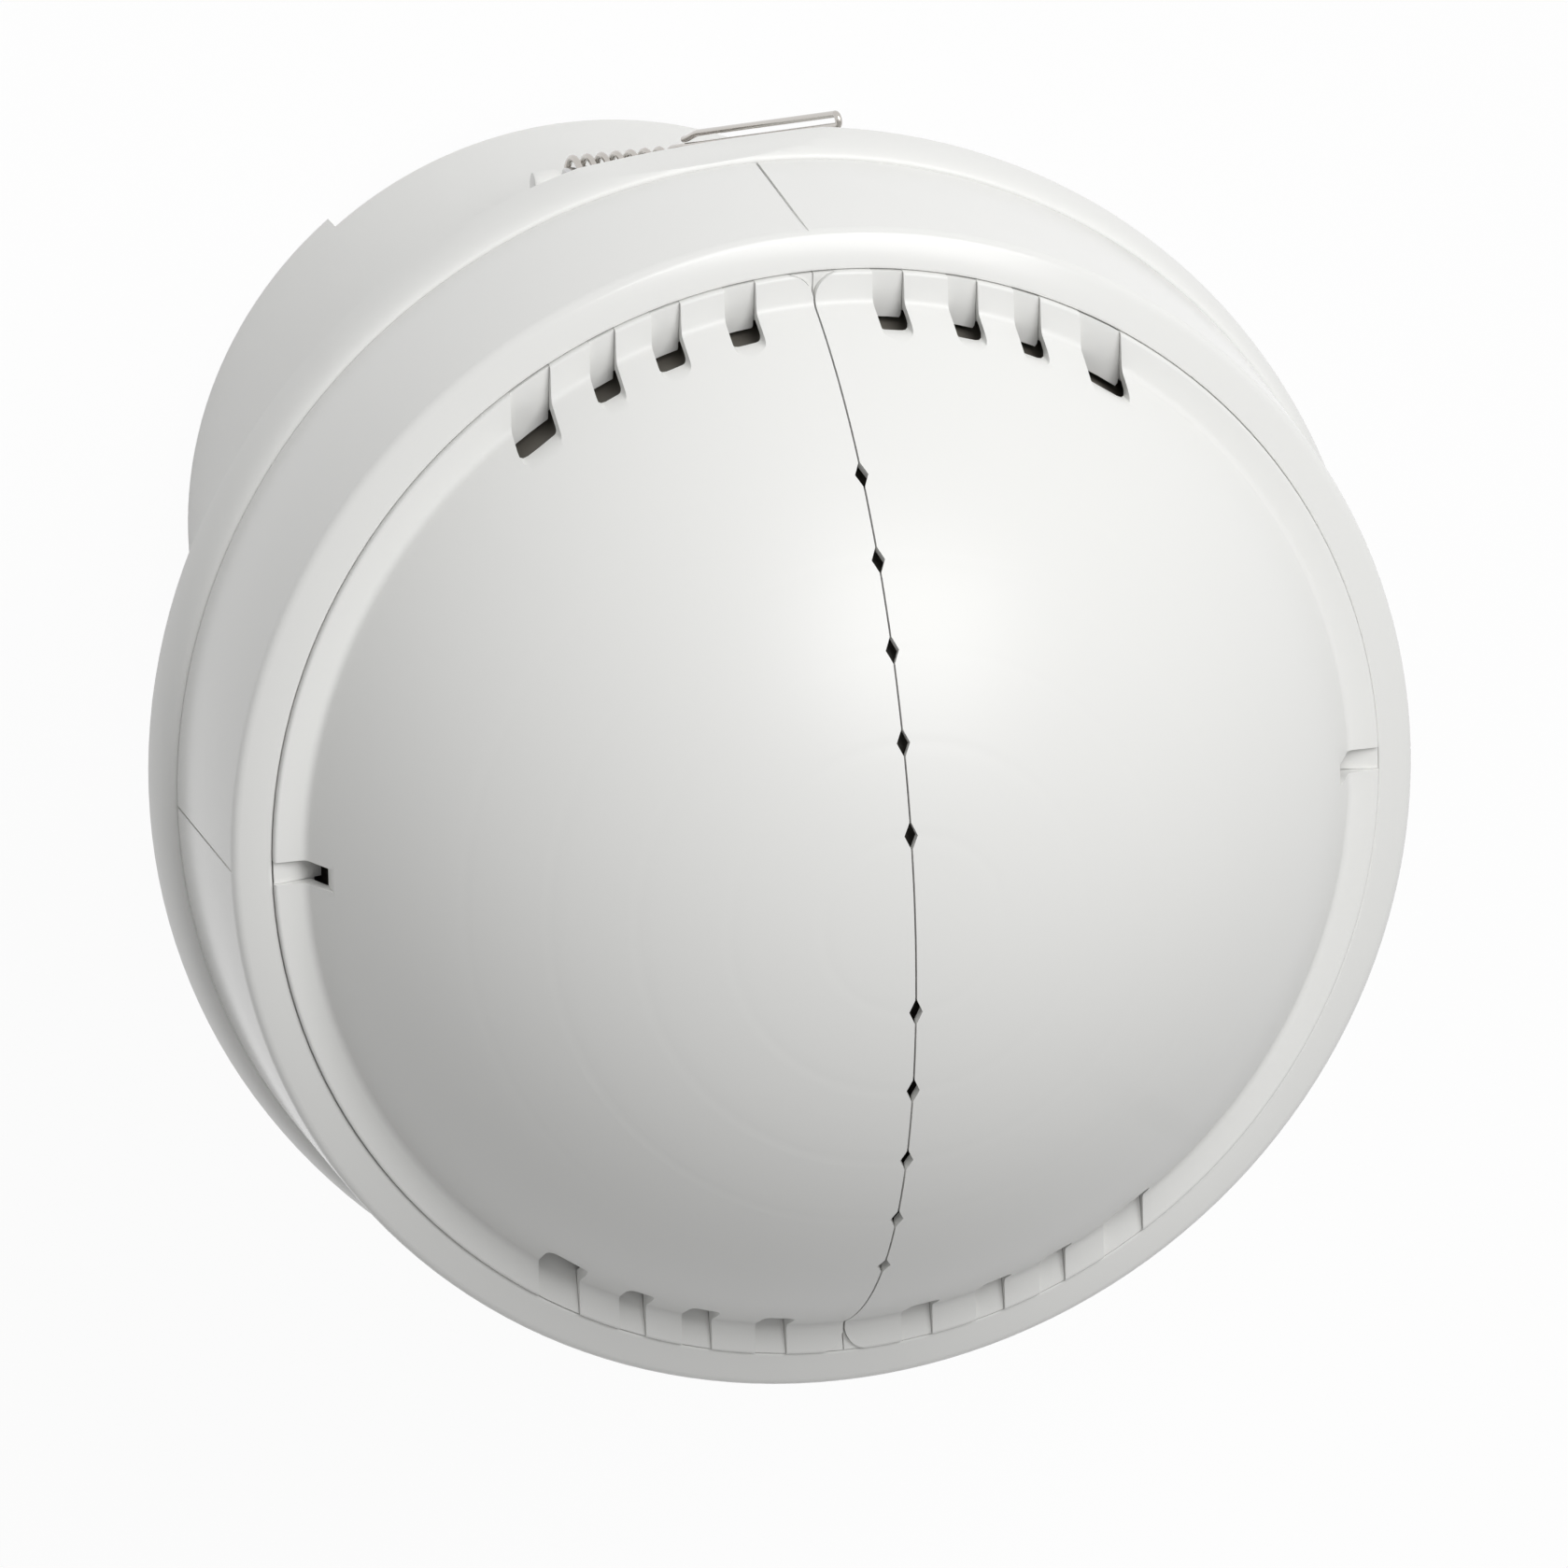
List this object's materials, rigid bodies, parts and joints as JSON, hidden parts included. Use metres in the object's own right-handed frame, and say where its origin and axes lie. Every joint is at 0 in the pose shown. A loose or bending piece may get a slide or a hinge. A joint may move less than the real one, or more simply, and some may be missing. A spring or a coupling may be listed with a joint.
{
  "type": "heat detector",
  "caption": "Recessed round ceiling heat detector: drum body with sprung wire ceiling clips, clamping flange, bezel, smoked lens and a clip-on masking dome split along a seam.",
  "frame": {"origin": "centre of the drum's rear face, on the detector's axis", "axes": "+Z from the rear face towards the dome's apex, +X towards the notch of the right dome half, +Y along the dome's seam towards the upper clip"},
  "size_m": [0.1064, 0.1068, 0.1214],
  "materials": {
    "housing_white": "satin",
    "bezel_white": "gloss",
    "cover_white": "satin",
    "smoked_lens": "satin",
    "screw_steel": "satin",
    "board_green": "satin",
    "terminal_green": "matte",
    "core_iron": "satin",
    "winding_copper": "gloss",
    "black_plastic": "matte",
    "capacitor_sleeve": "gloss",
    "fuse_glass": "gloss",
    "dial_grey": "satin",
    "sensor_metal": "satin",
    "lamp_clear": "gloss",
    "lamp_red": "gloss",
    "spring_wire": "polished",
    "pin_steel": "polished"
  },
  "bodies": {
    "housing": {"drum_housing": "housing_white", "mounting_flange": "housing_white", "rear_cover": "housing_white", "cable_clamp": "housing_white", "front_bezel": "bezel_white", "lens_ring": "bezel_white", "lens": "smoked_lens", "rear_cover_screw_1": "screw_steel", "rear_cover_screw_2": "screw_steel", "rear_cover_screw_3": "screw_steel", "rear_cover_screw_4": "screw_steel", "drum_screw_1": "screw_steel", "drum_screw_2": "screw_steel", "drum_screw_3": "screw_steel", "drum_screw_4": "screw_steel", "bezel_screw_1": "screw_steel", "bezel_screw_2": "screw_steel", "bezel_screw_3": "screw_steel", "bezel_screw_4": "screw_steel", "sensor_board_screw_1": "screw_steel", "sensor_board_screw_2": "screw_steel", "sensor_board_screw_3": "screw_steel", "cable_clamp_screw_1": "screw_steel", "cable_clamp_screw_2": "screw_steel", "terminal_screw_1": "screw_steel", "terminal_screw_2": "screw_steel", "terminal_screw_3": "screw_steel", "terminal_screw_4": "screw_steel", "main_board": "board_green", "sensor_board": "board_green", "terminal_block": "terminal_green", "transformer_core": "core_iron", "transformer_winding": "winding_copper", "relay": "black_plastic", "board_header": "black_plastic", "potentiometer_time": "black_plastic", "potentiometer_light": "black_plastic", "smoothing_capacitor_1": "capacitor_sleeve", "smoothing_capacitor_2": "capacitor_sleeve", "fuse": "fuse_glass", "heat_sensor_1": "sensor_metal", "heat_sensor_2": "sensor_metal", "heat_sensor_3": "sensor_metal", "light_sensor": "lamp_clear", "status_lamp": "lamp_red", "clip_spring_top": "spring_wire", "clip_spring_bottom": "spring_wire", "clip_pin_top": "pin_steel", "clip_pin_bottom": "pin_steel"},
    "clip_arm_top": {"clip_arm_top": "spring_wire"},
    "clip_arm_bottom": {"clip_arm_bottom": "spring_wire"},
    "cover_left": {"cover_half_left": "cover_white"},
    "cover_right": {"cover_half_right": "cover_white"},
    "dial_time": {"dial_time": "dial_grey"},
    "dial_light": {"dial_light": "dial_grey"}
  },
  "joints": [
    {"name": "clip_top_swing", "type": "hinge", "parent": "housing", "child": "clip_arm_top", "pos_m": [0, 0.0376, 0.028], "axis": [-1, 0, 0], "range_deg": [0, 150], "stiffness_Nm_per_rad": 0.01, "springref_deg": -45.84},
    {"name": "clip_bottom_swing", "type": "hinge", "parent": "housing", "child": "clip_arm_bottom", "pos_m": [0, -0.0376, 0.028], "axis": [1, 0, 0], "range_deg": [0, 150], "stiffness_Nm_per_rad": 0.01, "springref_deg": -45.84},
    {"name": "cover_left_lift", "type": "slide", "parent": "housing", "child": "cover_left", "axis": [0, 0, 1], "range_m": [0, 0.035]},
    {"name": "cover_right_lift", "type": "slide", "parent": "housing", "child": "cover_right", "axis": [0, 0, 1], "range_m": [0, 0.035]},
    {"name": "dial_time_turn", "type": "hinge", "parent": "housing", "child": "dial_time", "pos_m": [-0.011, 0.01265, 0.006], "axis": [0, 0, 1], "range_deg": [-135, 135]},
    {"name": "dial_light_turn", "type": "hinge", "parent": "housing", "child": "dial_light", "pos_m": [0.011, 0.01265, 0.006], "axis": [0, 0, 1], "range_deg": [-135, 135]}
  ]
}
